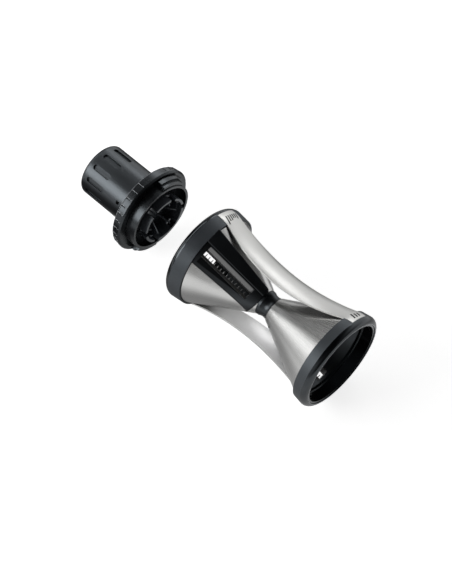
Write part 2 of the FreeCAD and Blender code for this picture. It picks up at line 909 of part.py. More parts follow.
def grip_core():
    """The turning core: shaft in the web's bore, flange before it, latches in the knob."""
    name = "grip_core"
    body = new_body(name, HOLDER)
    web_front = S.skirt_length + S.ring_width - S.back_plate - S.web
    back = web_front - S.end_gap
    front = back - S.core_flange
    shaft = S.bearing_bore - S.running_gap
    plate_radius = S.knob_radius - S.knob_wall - S.play
    plate_top = S.latch_height + S.core_plate / 2
    plate_low = S.latch_height - S.core_plate / 2
    profile = [
        (0, front),
        (CROWN_RADIUS, front),
        (CROWN_RADIUS, back),
        (shaft, back),
        (shaft, plate_low),
        (plate_radius, plate_low),
        (plate_radius, plate_top),
        (shaft, plate_top),
        (shaft, S.core_length),
        (shaft - S.core_wall, S.core_length),
        (shaft - S.core_wall, back),
        (0, back),
    ]
    turned(body, "Revolution", new_sketch(body, name + "_profile", "XZ_Plane", profile))
    outer = S.knob_radius - S.end_gap
    root_radius = plate_radius - S.core_plate
    hooks = []
    for way in (1, -1):
        low, high = S.latch_height - S.latch_width / 2, S.latch_height + S.latch_width / 2
        hooks.append([(root_radius * way, low), (outer * way, low), (outer * way, high),
                      (root_radius * way, high)])
    sketch = new_sketch(body, name + "_hooks", "YZ_Plane", *hooks)
    pushed(body, "Pad", sketch, S.latch_width)
    return node(body, name)


def claw_crown():
    """The castellated ring with pointed fins that holds the end of the vegetable."""
    name = "claw_crown"
    body = new_body(name, HOLDER)
    web_front = S.skirt_length + S.ring_width - S.back_plate - S.web
    foot = web_front - S.end_gap - S.core_flange
    floor = foot - S.crown_base
    inner = CROWN_RADIUS - S.crown_wall
    profile = [
        (0, floor),
        (inner, floor),
        (inner, -S.crown_reach),
        (CROWN_RADIUS, -S.crown_reach),
        (CROWN_RADIUS, foot),
        (0, foot),
    ]
    turned(body, "Revolution", new_sketch(body, name + "_profile", "XZ_Plane", profile))
    half = S.crown_gap / 2
    mouth = -S.crown_reach - S.play
    deep = S.crown_gap_depth - S.crown_reach
    gap = [(half, mouth), (half, deep), (-half, deep), (-half, mouth)]
    cut = pushed(body, "Pocket", new_sketch(body, name + "_gap", "YZ_Plane", gap), reverse=True)
    around(body, cut, GAP_COUNT)
    fin = [
        (inner + S.crown_wall / 2, floor),
        (inner + S.crown_wall / 2, deep),
        (S.fin_tip_radius, S.fin_sink - S.crown_reach),
        (S.fin_foot_radius, floor),
        (S.fin_foot_radius, floor + S.crown_base / 2),
        (inner + S.crown_wall / 2, floor + S.crown_base / 2),
    ]
    sketch = new_sketch(body, name + "_fin", "XZ_Plane", fin)
    around(body, pushed(body, "Pad", sketch, S.fin_sheet), FIN_COUNT)
    return node(body, name)


def build():
    upper = side_strip("side_strip_upper", WORLD)
    half_turn = FreeCAD.Placement(V(0, 0, 0), FreeCAD.Rotation(V(0, 0, 1), 180))
    lower = side_strip("side_strip_lower", WORLD * half_turn)
    strips = fused("side_strips", upper, lower)
    for letter, side in SIDES.items():
        line = FunnelLine(side["band"])
        frame = line.slot_frame(side["funnel"])
        rim_ring(letter, strips)
        mouth_liner(letter)
        funnel(letter, line, frame)
        cone_jacket(letter, line, frame)
        blade_guard(letter, line, frame)
        slicing_blade(letter, line, frame)
        julienne_comb(letter, line, frame)
    neck_collar()
    collar_skirt()
    collar_ring()
    glide_ring()
    grip_knob()
    grip_core()
    claw_crown()


def check():
    for item in doc.Objects:
        if "Invalid" in item.State or "Error" in item.State:
            raise RuntimeError("%s is %s" % (item.Name, item.State))
    for item in NODES:
        if item.Shape.isNull() or not item.Shape.isValid():
            raise RuntimeError("%s has no valid shape" % item.Label)


build()
doc.recompute()
check()
os.makedirs(PARTS_FOLDER, exist_ok=True)
for item in NODES:
    item.Shape.exportStep(os.path.join(PARTS_FOLDER, item.Label + ".step"))
    solids, volume = len(item.Shape.Solids), item.Shape.Volume / 1000
    print("%-20s %d solid, %.2f cm3" % (item.Label, solids, volume))
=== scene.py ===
# %% [markdown]
# # A hand spiral slicer and its food holder
# The object is an hourglass of two steel-clad funnels, with a loose black food holder before one of its
# mouths. The solids are already made and packed, so this lesson dresses them: it gives every piece its
# finish, adds the small parts that only matter to the eye, and lights them as for a catalogue.
# Everything is in metres. The tool lies along X with its axis 40 mm above the floor. Mouth A faces the
# holder and mouth B is the far end.

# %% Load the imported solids
import math

import bpy
from mathutils import Matrix, Vector
from mathutils.bvhtree import BVHTree


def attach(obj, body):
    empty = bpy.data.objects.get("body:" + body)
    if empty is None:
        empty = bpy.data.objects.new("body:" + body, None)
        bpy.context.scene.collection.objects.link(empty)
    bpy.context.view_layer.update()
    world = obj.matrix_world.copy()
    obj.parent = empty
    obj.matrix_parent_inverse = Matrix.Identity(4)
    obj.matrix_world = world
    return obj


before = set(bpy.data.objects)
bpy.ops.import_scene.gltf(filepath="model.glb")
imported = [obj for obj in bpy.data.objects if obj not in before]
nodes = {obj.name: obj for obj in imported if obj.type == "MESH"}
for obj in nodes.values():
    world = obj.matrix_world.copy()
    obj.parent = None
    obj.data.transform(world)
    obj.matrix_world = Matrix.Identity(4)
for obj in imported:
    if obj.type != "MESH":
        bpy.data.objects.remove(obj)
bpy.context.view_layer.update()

# %% [markdown]
# ## The camera
# The catalogue view looks down at the tool from its front right. A camera can be aimed with a Track To
# constraint, but its angles are known here, so its own three axes are written straight into its
# matrix: right, up and back. The long lens keeps the two mouths nearly the same size. The Standard view
# transform shows white paper as white; the default one would grey it.

# %% Camera
AXIS_HEIGHT = 0.040
AZIMUTH = math.radians(43.89)
ELEVATION = math.radians(58.53)
DISTANCE = 1.1168
LENS = 92.5  # millimetres
SENSOR = 36.0  # millimetres
TOOL_MIDDLE = Vector((0.0013, 0.0, AXIS_HEIGHT))
SHIFT_RIGHT = 0.0067
SHIFT_DOWN = 0.0216

back = Vector((
    math.sin(AZIMUTH) * math.cos(ELEVATION),
    -math.cos(AZIMUTH) * math.cos(ELEVATION),
    math.sin(ELEVATION),
))
right = Vector((math.cos(AZIMUTH), math.sin(AZIMUTH), 0.0))
up = back.cross(right)
aim = TOOL_MIDDLE + right * SHIFT_RIGHT - up * SHIFT_DOWN
camera_data = bpy.data.cameras.new("catalogue_camera")
camera_data.lens = LENS
camera_data.sensor_width = SENSOR
camera = bpy.data.objects.new("catalogue_camera", camera_data)
stand = Matrix((right, up, back)).transposed().to_4x4()
stand.translation = aim + back * DISTANCE
camera.matrix_world = stand
bpy.context.scene.collection.objects.link(camera)
bpy.context.scene.camera = camera
bpy.context.scene.view_settings.view_transform = "Standard"
print("camera at", [round(v, 3) for v in stand.translation])

# %% [markdown]
# ## Wiring nodes from a script
# The light and the finishes below are trees of small nodes, each of which does one sum. In the node
# editor they are dragged about and joined by hand. Here a few helpers do it: each makes one node, feeds
# it with plain values or with another node's output, and hands its own output on, so that a tree reads
# like a formula.

# %% Helpers that make and feed nodes
def new_node(tree, kind, **settings):
    """Adds a shader node and sets its plain properties."""
    made = tree.nodes.new(kind)
    for key, value in settings.items():
        setattr(made, key, value)
    return made


def feed(tree, target, value):
    """Gives an input a plain value, or joins it to another node's output."""
    if isinstance(value, bpy.types.NodeSocket):
        tree.links.new(value, target)
    else:
        target.default_value = value


def feed_all(tree, made, values):
    """Feeds a node's first inputs in their order."""
    for target, value in zip(made.inputs, values):
        feed(tree, target, value)


def number_sum(tree, operation, *values):
    """One sum on numbers."""
    made = new_node(tree, "ShaderNodeMath", operation=operation)
    feed_all(tree, made, values)
    return made.outputs["Value"]


def split(tree, vector):
    """The X, Y and Z of a vector."""
    made = new_node(tree, "ShaderNodeSeparateXYZ")
    feed(tree, made.inputs["Vector"], vector)
    return [made.outputs[axis] for axis in "XYZ"]


print("helpers:", [helper.__name__ for helper in (new_node, feed, feed_all, number_sum, split)])

# %% Helpers that turn a number into a shade
def map_range(tree, value, from_span, to_span=(0.0, 1.0)):
    """Carries a number from one span to another and stops it at the ends."""
    made = new_node(tree, "ShaderNodeMapRange")
    feed(tree, made.inputs["Value"], value)
    for name, number in zip(("From Min", "From Max", "To Min", "To Max"), (*from_span, *to_span)):
        made.inputs[name].default_value = number
    return made.outputs["Result"]


def colour_ramp(tree, value, stops):
    """A colour for a number, from stops that are (position, grey or colour)."""
    made = new_node(tree, "ShaderNodeValToRGB")
    feed(tree, made.inputs["Fac"], value)
    elements = made.color_ramp.elements
    while len(elements) > 1:
        elements.remove(elements[-1])
    for i, (position, shade) in enumerate(stops):
        element = elements[0] if i == 0 else elements.new(position)
        element.position = position
        element.color = (shade, shade, shade, 1) if isinstance(shade, float) else (*shade, 1)
    return made.outputs["Color"]


def blend(tree, factor, first, second):
    """The first shader where the factor is 0, the second where it is 1."""
    made = new_node(tree, "ShaderNodeMixShader")
    feed_all(tree, made, (factor, first, second))
    return made.outputs["Shader"]


print("helpers:", [helper.__name__ for helper in (map_range, colour_ramp, blend)])

# %% [markdown]
# ## The room
# Polished steel has no colour of its own: it shows the room. A studio is built of paper, boards and
# cloth, and a wide picture of one could be wrapped round the scene. Three ramps do the same with a few
# numbers that are easy to change. Each is a grey over one direction, height Z, front to back Y and left
# to right X, and the sky is their product: bright behind the tool, grey on the other sides and nearly
# dark overhead, where the camera stands. The camera itself sees plain white paper, through the Light
# Path's Is Camera Ray, so only lit and mirroring surfaces know the room.

# %% Sky
UPWARD = [(0.0, 0.60), (0.5, 0.80), (0.74, 1.0), (0.82, 0.45), (0.89, 0.10), (1.0, 0.05)]
ACROSS = [(0.0, 0.50), (0.35, 0.32), (0.55, 0.18), (0.75, 0.80), (1.0, 1.0)]
ALONG = [(0.0, 0.10), (0.14, 0.16), (0.26, 1.0), (0.68, 1.0), (0.88, 0.20), (1.0, 0.15)]
DIRECTION_SPAN = (-1.0, 1.0)
WHITE = (1.0, 1.0, 1.0, 1.0)

world = bpy.data.worlds.new("studio")
bpy.context.scene.world = world
world.use_nodes = True
sky = world.node_tree
sky.nodes.clear()
east, north, height = split(sky, new_node(sky, "ShaderNodeTexCoord").outputs["Generated"])
greys = [
    colour_ramp(sky, map_range(sky, part, DIRECTION_SPAN), stops)
    for part, stops in ((height, UPWARD), (north, ACROSS), (east, ALONG))
]
shade = number_sum(sky, "MULTIPLY", number_sum(sky, "MULTIPLY", greys[0], greys[1]), greys[2])
room = new_node(sky, "ShaderNodeBackground")
feed(sky, room.inputs["Color"], shade)
paper = new_node(sky, "ShaderNodeBackground")
feed(sky, paper.inputs["Color"], WHITE)
from_camera = new_node(sky, "ShaderNodeLightPath").outputs["Is Camera Ray"]
surroundings = blend(sky, from_camera, room.outputs["Background"], paper.outputs["Background"])
feed(sky, new_node(sky, "ShaderNodeOutputWorld").inputs["Surface"], surroundings)
print("sky stops:", len(UPWARD) + len(ACROSS) + len(ALONG))

# %% [markdown]
# ## The floor
# The tool lies on a wide white sheet. A curved sweep would do away with the horizon, but the white
# surroundings already do, so one flat square is enough. It lies a hair's breadth under the lowest solid,
# so that the two faces don't fight for the same place. It is staging and no part of the tool.

# %% Sheet of paper
FLOOR_HALF = 3.0
FLOOR_HEIGHT = -0.0002

corners = [(x * FLOOR_HALF, y * FLOOR_HALF, FLOOR_HEIGHT) for x, y in ((-1, -1), (1, -1), (1, 1), (-1, 1))]
floor_mesh = bpy.data.meshes.new("floor")
floor_mesh.from_pydata(corners, [], [(0, 1, 2, 3)])
floor = bpy.data.objects.new("floor", floor_mesh)
bpy.context.scene.collection.objects.link(floor)
floor_paint = bpy.data.materials.new("floor_paper")
floor_mesh.materials.append(floor_paint)
print("floor is", 2 * FLOOR_HALF, "m wide")

# %% [markdown]
# ### Paper that comes out white
# Paper that is only lit comes out grey, and brighter lamps would burn out the steel. So the paper keeps
# its true grey, which takes the soft shadow under the tool, and gets a glow of its own that only the
# camera sees. The glow grows with distance, because paper far from the lamps is darker, and without
# that the horizon would be a grey band in a low view.

# %% Paper as the camera sees it
PAPER_GREY = (0.86, 0.86, 0.86, 1.0)
GLOW_SPAN = (0.25, 1.2)
GLOW = (0.76, 1.0)


def vector_sum(tree, operation, *values):
    """One sum on vectors; a length or a dot product comes out as a number."""
    made = new_node(tree, "ShaderNodeVectorMath", operation=operation)
    feed_all(tree, made, values)
    return made.outputs["Value" if operation in ("LENGTH", "DOT_PRODUCT") else "Vector"]


def emission(tree, strength):
    """White light of the surface's own."""
    made = new_node(tree, "ShaderNodeEmission")
    made.inputs["Color"].default_value = WHITE
    feed(tree, made.inputs["Strength"], strength)
    return made.outputs["Emission"]


floor_paint.use_nodes = True
paint = floor_paint.node_tree
paint.nodes.clear()
on_floor = new_node(paint, "ShaderNodeTexCoord").outputs["Object"]
ray = new_node(paint, "ShaderNodeLightPath")
matte = new_node(paint, "ShaderNodeBsdfDiffuse")
matte.inputs["Color"].default_value = PAPER_GREY
glow = map_range(paint, vector_sum(paint, "LENGTH", on_floor), GLOW_SPAN, GLOW)
paper_glow = emission(paint, number_sum(paint, "MULTIPLY", ray.outputs["Is Camera Ray"], glow))
lit_paper = new_node(paint, "ShaderNodeAddShader")
feed_all(paint, lit_paper, (matte.outputs["BSDF"], paper_glow))
print("the paper's glow runs from", GLOW[0], "to", GLOW[1])

# %% [markdown]
# ### What the floor looks like in a mirror
# Close to the tool the real sheet is shaded by the tool itself, and a studio has black boards beside
# polished things, because only a dark neighbour gives them dark, clear edges. Boards could be modelled
# and hidden from the camera. It is simpler to paint them on a second floor that only glossy rays see,
# which are the rays that steel and plastic mirror. It has three soft ellipses: the shade of the tool
# itself, a long flag behind it on the left, and a card in front of the holder.

# %% Paper as polished surfaces see it
SHADE = {"centre": (0.0, -0.045), "reach": (0.2286, 0.080), "edge": (0.25, 1.0), "shades": (0.25, 0.80)}
FLAG = {"centre": (-0.45, 0.12), "reach": (0.60, 0.07), "edge": (0.8, 1.3), "shades": (0.06, 1.0)}
CARD = {"centre": (-0.145, -0.10), "reach": (0.075, 0.10), "edge": (0.7, 1.2), "shades": (0.08, 1.0)}


def ellipse(tree, centre, reach, edge, shades):
    """One shade inside an ellipse and another outside; `edge` is the fade, as shares of its reach."""
    scale = (1 / reach[0], 1 / reach[1], 0.0)
    offset = (-centre[0] / reach[0], -centre[1] / reach[1], 0.0)
    away = vector_sum(tree, "LENGTH", vector_sum(tree, "MULTIPLY_ADD", on_floor, scale, offset))
    return map_range(tree, away, edge, shades)


boards = number_sum(paint, "MULTIPLY", ellipse(paint, **FLAG), ellipse(paint, **CARD))
mirrored = emission(paint, number_sum(paint, "MULTIPLY", ellipse(paint, **SHADE), boards))
both_floors = blend(paint, ray.outputs["Is Glossy Ray"], lit_paper.outputs["Shader"], mirrored)
feed(paint, new_node(paint, "ShaderNodeOutputMaterial").inputs["Surface"], both_floors)
print("floor nodes:", len(paint.nodes))

# %% [markdown]
# ## The lamps
# Black plastic mirrors only about a fifteenth of what it faces, and the knob a little more. Its
# highlights need lamps several times brighter than the paper. A bare bulb would make a hard dot, so all
# four are wide soft boxes. The key lamp stands on the left in front and draws the broad light along the
# knob. The side lamp is weaker and shows in the cones. The top lamp is a long box high on the left, and
# lifts the upper sides that the key lamp misses. The back lamp puts the thin second light on the upper
# edges.

# %% Lamps
LAMP_TARGET = Vector((0.0, 0.0, AXIS_HEIGHT))
LAMPS = {
    "key_lamp": {"place": (-0.58, -0.80, 0.54), "size": (0.70, 0.60), "power": 4.8},
    "side_lamp": {"place": (-1.10, -0.38, 0.27), "size": (0.45, 0.50), "power": 0.9},
    "top_lamp": {"place": (-0.72, 0.05, 0.72), "size": (0.90, 0.28), "power": 1.4},
    "back_lamp": {"place": (-0.35, 0.85, 0.62), "size": (0.60, 0.35), "power": 1.15},
}


def soft_lamp(name, place, size, power):
    """A rectangular area lamp at `place` that faces the tool."""
    data = bpy.data.lights.new(name, "AREA")
    data.shape = "RECTANGLE"
    data.size, data.size_y = size
    data.energy = power
    lamp = bpy.data.objects.new(name, data)
    turn = (LAMP_TARGET - Vector(place)).normalized().to_track_quat("-Z", "Y").to_matrix().to_4x4()
    lamp.matrix_world = Matrix.Translation(place) @ turn
    bpy.context.scene.collection.objects.link(lamp)


for name, lamp in LAMPS.items():
    soft_lamp(name, **lamp)
print("lamps:", list(LAMPS))

# %% [markdown]
# ## What the finishes share
# Real surfaces are never one flat value: their gloss and colour drift, and their edges are slightly
# rounded and catch the light. An image texture would need the pieces unwrapped. Noise needs only a
# position, so each finish below mixes noises, and the Bevel node rounds the light on the edges without
# changing the solids. Object coordinates are used throughout, because they stay with a piece when it
# moves.

# %% Helpers for the finishes
NOISE_SPAN = (0.3, 0.7)
BEVEL_SAMPLES = 4


def new_material(name):
    """A node material, its tree and its Principled shader."""
    material = bpy.data.materials.new(name)
    material.use_nodes = True
    tree = material.node_tree
    return material, tree, tree.nodes["Principled BSDF"]


def position(tree):
    """Where the shaded point is, in the piece's own space."""
    return new_node(tree, "ShaderNodeTexCoord").outputs["Object"]


def noise(tree, scale, detail, roughness=0.5, vector=None):
    """A noise over the position, unless another vector is given."""
    made = new_node(tree, "ShaderNodeTexNoise")
    made.inputs["Scale"].default_value = scale
    made.inputs["Detail"].default_value = detail
    made.inputs["Roughness"].default_value = roughness
    feed(tree, made.inputs["Vector"], position(tree) if vector is None else vector)
    return made.outputs["Fac"]


def soft_edges(tree, shader, heights, strength, distance, radius):
    """Bumps a surface and rounds the light on its sharp edges by `radius`."""
    edge = new_node(tree, "ShaderNodeBevel", samples=BEVEL_SAMPLES)
    edge.inputs["Radius"].default_value = radius
    bump = new_node(tree, "ShaderNodeBump")
    bump.inputs["Strength"].default_value = strength
    bump.inputs["Distance"].default_value = distance
    feed(tree, bump.inputs["Height"], heights)
    feed(tree, bump.inputs["Normal"], edge.outputs["Normal"])
    feed(tree, shader.inputs["Normal"], bump.outputs["Normal"])


print("a noise between", NOISE_SPAN, "is spread over each finish's own limits")

# %% [markdown]
# ### Moulded plastic
# The black parts are injection moulded. Close up they have a fine grain from the mould, a slow change
# of gloss where fingers have been, and here and there a greyer patch. A fine noise makes the bump, and a
# broad one the colour and the roughness. One function makes them all, and the table holds what differs:
# the darkest and lightest colour, the limits of the roughness, the strength of the grain and the index
# of refraction, which sets how much of the room the black mirrors. The ink and the seams mirror least.
# What all of them mirror is tinted a little blue, as black plastic looks in a white studio.

# %% Moulded plastic
GRAIN_SCALE, GRAIN_DETAIL, GRAIN_DEPTH = 2600.0, 3.0, 0.00006
PATCH_SCALE, PATCH_DETAIL, PATCH_ROUGHNESS = 46.0, 4.0, 0.6
PATCH_STOPS = (0.32, 0.72)
PLASTIC_EDGE = 0.0003
COOL_MIRROR = (0.84, 0.93, 1.0, 1.0)
PLASTICS = {  # darkest colour, lightest colour, roughness, grain, index of refraction
    "rim_plastic": ((0.028, 0.031, 0.036), (0.042, 0.047, 0.054), (0.40, 0.47), 0.25, 1.7),
    "bar_plastic": ((0.003, 0.003, 0.004), (0.006, 0.006, 0.007), (0.30, 0.38), 0.25, 1.7),
    "neck_plastic": ((0.002, 0.002, 0.003), (0.004, 0.004, 0.005), (0.30, 0.36), 0.20, 1.7),
    "gloss_plastic": ((0.003, 0.003, 0.003), (0.005, 0.005, 0.005), (0.12, 0.20), 0.08, 1.7),
    "funnel_plastic": ((0.004, 0.004, 0.004), (0.007, 0.007, 0.008), (0.30, 0.42), 0.30, 1.7),
    "knob_plastic": ((0.003, 0.003, 0.004), (0.005, 0.005, 0.006), (0.30, 0.34), 0.35, 1.85),
    "ring_plastic": ((0.005, 0.005, 0.006), (0.009, 0.010, 0.011), (0.22, 0.32), 0.20, 1.7),
    "crown_plastic": ((0.045, 0.050, 0.058), (0.075, 0.083, 0.095), (0.22, 0.32), 0.20, 1.7),
    # A light grey for the lip, groove and ring-back lines: painted highlights, not a plastic of the tool.
    "edge_highlight_paint": ((0.42, 0.44, 0.46), (0.55, 0.57, 0.60), (0.25, 0.35), 0.10, 1.7),
    "ink": ((0.002, 0.002, 0.002), (0.004, 0.004, 0.004), (0.55, 0.70), 0.10, 1.3),
    # Near black for the dark joints at the cones and for the painted shadow in the latch windows.
    "seam_and_shadow_black": ((0.001, 0.001, 0.001), (0.002, 0.002, 0.002), (0.6, 0.7), 0.05, 1.2),
}


def moulded_plastic(name, dark, light, gloss, grain, ior):
    """`dark` and `light` are the colour's limits, `gloss` the roughness's, `grain` the bump."""
    material, tree, shader = new_material(name)
    patches = noise(tree, PATCH_SCALE, PATCH_DETAIL, PATCH_ROUGHNESS)
    feed(tree, shader.inputs["Base Color"], colour_ramp(tree, patches, zip(PATCH_STOPS, (dark, light))))
    feed(tree, shader.inputs["Roughness"], map_range(tree, patches, NOISE_SPAN, gloss))
    shader.inputs["IOR"].default_value = ior
    shader.inputs["Specular Tint"].default_value = COOL_MIRROR
    soft_edges(tree, shader, noise(tree, GRAIN_SCALE, GRAIN_DETAIL), grain, GRAIN_DEPTH, PLASTIC_EDGE)
    return material


finishes = {name: moulded_plastic(name, *row) for name, row in PLASTICS.items()}
print("plastics:", len(finishes))

# %% [markdown]
# ### The polished front of the rims
# A rim ring has two finishes. The band round the cone is satin grey, and the crown in front of its ridge
# is polished and quite black. Two materials would need the ring's faces sorted. A switch over X needs
# nothing but the place of the ridge: both rims lie equally far from the middle of the slicer, so one
# distance serves both.

# %% Polished front of the rims
MOUTH_A, MOUTH_B = -0.0151, 0.1257
SLICER_MIDDLE = (MOUTH_A + MOUTH_B) / 2
RIDGE_DISTANCE = 0.0658
FRONT_FINISH = (("Base Color", "RGBA", (0.001, 0.001, 0.0015, 1.0)), ("Roughness", "FLOAT", 0.17))


def mix(tree, kind, factor, first, second):
    """The first number or colour where the factor is 0, the second where it is 1."""
    made = new_node(tree, "ShaderNodeMix", data_type=kind)
    for name, value in (("Factor", factor), ("A", first), ("B", second)):
        feed(tree, made.inputs[name], value)
    return made.outputs["Result"]


def polish_front(material):
    """Makes a rim smooth and black in front of its ridge; the band keeps its satin."""
    tree = material.node_tree
    shader = tree.nodes["Principled BSDF"]
    offset = number_sum(tree, "SUBTRACT", split(tree, position(tree))[0], SLICER_MIDDLE)
    front = number_sum(tree, "GREATER_THAN", number_sum(tree, "ABSOLUTE", offset), RIDGE_DISTANCE)
    for name, kind, polished in FRONT_FINISH:
        satin = shader.inputs[name].links[0].from_socket
        feed(tree, shader.inputs[name], mix(tree, kind, front, satin, polished))


polish_front(finishes["rim_plastic"])
print("the ridges are", RIDGE_DISTANCE, "m from the middle at", round(SLICER_MIDDLE, 4))

# %% [markdown]
# ### Brushed steel
# The sheet was brushed before it was rolled, so its lines run from mouth to neck. A noise that is long
# in that direction and very short across it makes them. It works on roughness and bump at once,
# because a scratch is both a groove and a place where light scatters. The lines must follow the round of
# the cone, so the noise needs a coordinate that goes round the axis. It could come from an unwrap, but
# the position gives it: the angle about the axis goes across the lines, and X goes along them.

# %% Coordinates round the axis
def axis_coordinates(tree, across, along):
    """A stretched vector: `across` times the angle round the tool's axis, `along` times X."""
    x, y, z = split(tree, position(tree))
    angle = number_sum(tree, "ARCTAN2", number_sum(tree, "SUBTRACT", z, AXIS_HEIGHT), y)
    joined = new_node(tree, "ShaderNodeCombineXYZ")
    feed(tree, joined.inputs["X"], number_sum(tree, "MULTIPLY", angle, across))
    feed(tree, joined.inputs["Y"], number_sum(tree, "MULTIPLY", x, along))
    return joined.outputs["Vector"]


LINES_ACROSS, LINES_ALONG = 260.0, 22.0
line_size = (round(AXIS_HEIGHT / LINES_ACROSS, 5), round(1 / LINES_ALONG, 3))
print("at the rim a line is", line_size[0], "m wide and", line_size[1], "m long")

# %% [markdown]
# ### The inner face of a strip
# A strip is brushed outside, where it is seen and held. Inside it is left as the mill rolled it, dull and
# even in its roughness. A sheet made with the Solidify modifier could give each side a slot of its own, but
# these solids keep their faces as they are, so the finish asks which way a face looks: outward, or at the
# axis. The inner face gets one roughness and two greys, one towards mouth A and one towards mouth B. The
# greys are painted shade and light, not the steel's own colour. On the upper strip they are dark and
# differ, because what it faces is light at one end and dark at the other. On the lower strip they are the
# same light grey, lighter than the outer steel.

# %% Unpolished inner face with painted shade
# The inner greys are painted shade and light; they change over this span of X, from mouth A's grey to mouth
# B's.
PAINTED_SHADE_SPAN = (0.036, 0.072)
INNER_ROUGHNESS = 0.45


def faces_outward(tree):
    """1 where a surface faces away from the tool's axis, 0 where it faces the axis."""
    from_axis = vector_sum(tree, "MULTIPLY_ADD", position(tree), (0.0, 1.0, 1.0), (0.0, 0.0, -AXIS_HEIGHT))
    normal = new_node(tree, "ShaderNodeTexCoord").outputs["Normal"]
    return number_sum(tree, "GREATER_THAN", vector_sum(tree, "DOT_PRODUCT", from_axis, normal), 0.0)


def dull_inside_painted_shading(tree, colour, roughness, greys):
    """The colour and roughness with an unpolished inner face, whose colour is painted shade from one grey
    to another.
    """
    outside = faces_outward(tree)
    grey = map_range(tree, split(tree, position(tree))[0], PAINTED_SHADE_SPAN, greys)
    return (
        mix(tree, "RGBA", outside, grey, colour),
        mix(tree, "FLOAT", outside, INNER_ROUGHNESS, roughness),
    )


print("inner faces change their grey over", PAINTED_SHADE_SPAN)

# %% [markdown]
# ### Four steels
# The jackets, the strips and the blades are the same kind of sheet with a different brushing. The jackets
# and the blades are smoother and mirror the room more clearly, and the blades are darker too. The strips
# are held in the hand and have a coarser satin. A slow noise lets the colour drift a little, so that a
# wide face doesn't look painted. Again one function makes them all and the table holds what differs.

# %% Brushed steels
STEEL_STOPS = (0.30, 0.70)
STEEL_DARKER = 0.93
CLOUD_SCALE, CLOUD_DETAIL = 34.0, 3.0
LINE_DETAIL, LINE_ROUGHNESS, LINE_DEPTH = 6.0, 0.62, 0.00004
STEEL_EDGE = 0.0002
# The inner greys are painted: dark shade on the upper strip, darker towards mouth B, and a light grey on
# the lower strip.
STEELS = {  # lightest colour, roughness, depth of the lines, greys of the inner face
    "jacket_steel": ((0.78, 0.78, 0.77), (0.24, 0.32), 0.12),
    "upper_steel_painted_dark_inside": ((0.70, 0.70, 0.685), (0.34, 0.42), 0.20, (0.34, 0.07)),
    "lower_steel_painted_light_inside": ((0.70, 0.70, 0.685), (0.34, 0.42), 0.20, (0.85, 0.85)),
    "blade_steel": ((0.50, 0.50, 0.50), (0.24, 0.32), 0.10),
}


def brushed_steel(name, light, gloss, depth, inside=None):
    """`gloss` are the roughness's limits, `depth` the brushing's bump, `inside` the painted inner greys."""
    material, tree, shader = new_material(name)
    shader.inputs["Metallic"].default_value = 1.0
    lines = noise(tree, 1.0, LINE_DETAIL, LINE_ROUGHNESS, axis_coordinates(tree, LINES_ACROSS, LINES_ALONG))
    dark = tuple(part * STEEL_DARKER for part in light)
    colour = colour_ramp(tree, noise(tree, CLOUD_SCALE, CLOUD_DETAIL), zip(STEEL_STOPS, (dark, light)))
    roughness = map_range(tree, lines, NOISE_SPAN, gloss)
    if inside is not None:
        colour, roughness = dull_inside_painted_shading(tree, colour, roughness, inside)
    feed(tree, shader.inputs["Base Color"], colour)
    feed(tree, shader.inputs["Roughness"], roughness)
    soft_edges(tree, shader, lines, depth, LINE_DEPTH, STEEL_EDGE)
    return material


finishes.update({name: brushed_steel(name, *row) for name, row in STEELS.items()})
print("steels:", list(STEELS))

# %% [markdown]
# ## Dressing the solids
# A imported solid keeps its mesh and gets a new material in its slot. Each could be replaced by a finer
# mesh, but the solids already have the true shapes, and what is left is the surface. The table says
# which pieces wear which finish. The two strips have finishes of their own, because their inner faces
# look at different things and carry different painted shade.

# %% Finishes on the solids
WEARERS = {
    "rim_plastic": ("rim_ring_a", "rim_ring_b"),
    "gloss_plastic": ("mouth_liner_a", "mouth_liner_b"),
    "funnel_plastic": ("funnel_a", "funnel_b", "grip_core"),
    "jacket_steel": ("cone_jacket_a", "cone_jacket_b"),
    "bar_plastic": ("blade_guard_a", "blade_guard_b"),
    "blade_steel": ("slicing_blade_a", "slicing_blade_b", "julienne_comb_a", "julienne_comb_b"),
    "neck_plastic": ("neck_collar",),
    # Two copies of one steel, whose inner faces differ only by painted shade and light.
    "upper_steel_painted_dark_inside": ("side_strip_upper",),
    "lower_steel_painted_light_inside": ("side_strip_lower",),
    "ring_plastic": ("collar_ring", "collar_skirt", "glide_ring"),
    "knob_plastic": ("grip_knob",),
    "crown_plastic": ("claw_crown",),
}
for finish, wearers in WEARERS.items():
    for name in wearers:
        mesh = nodes[name].data
        mesh.materials.clear()
        mesh.materials.append(finishes[finish])
print("dressed:", sum(len(wearers) for wearers in WEARERS.values()))

# %% [markdown]
# ## Small parts
# What is left is too small or too thin for the solids: the seams, the painted highlights on the lips and on
# the edges of the holder's grooves, the painted shadow in the latch windows and the printed bars. They
# could be painted by a material, but a shape of its own stays crisp from close by and shows from every
# side. Each one is a mesh placed by its angle round the tool's axis, and it rides on the body that it sits
# on.

# %% Helpers for small parts
def at_axis(x, radius, degrees):
    """A point at `radius` round the tool's axis; 90 degrees is straight up."""
    turn = math.radians(degrees)
    return Vector((x, radius * math.cos(turn), AXIS_HEIGHT + radius * math.sin(turn)))


def small_part(name, points, faces, finish, body):
    """A smooth mesh object that rides on a body."""
    mesh = bpy.data.meshes.new(name)
    mesh.from_pydata(points, [], faces)
    mesh.materials.append(finishes[finish])
    mesh.polygons.foreach_set("use_smooth", [True] * len(mesh.polygons))
    part = bpy.data.objects.new(name, mesh)
    bpy.context.scene.collection.objects.link(part)
    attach(part, body)


print("top of rim B:", [round(v, 4) for v in at_axis(MOUTH_B, AXIS_HEIGHT, 90.0)])

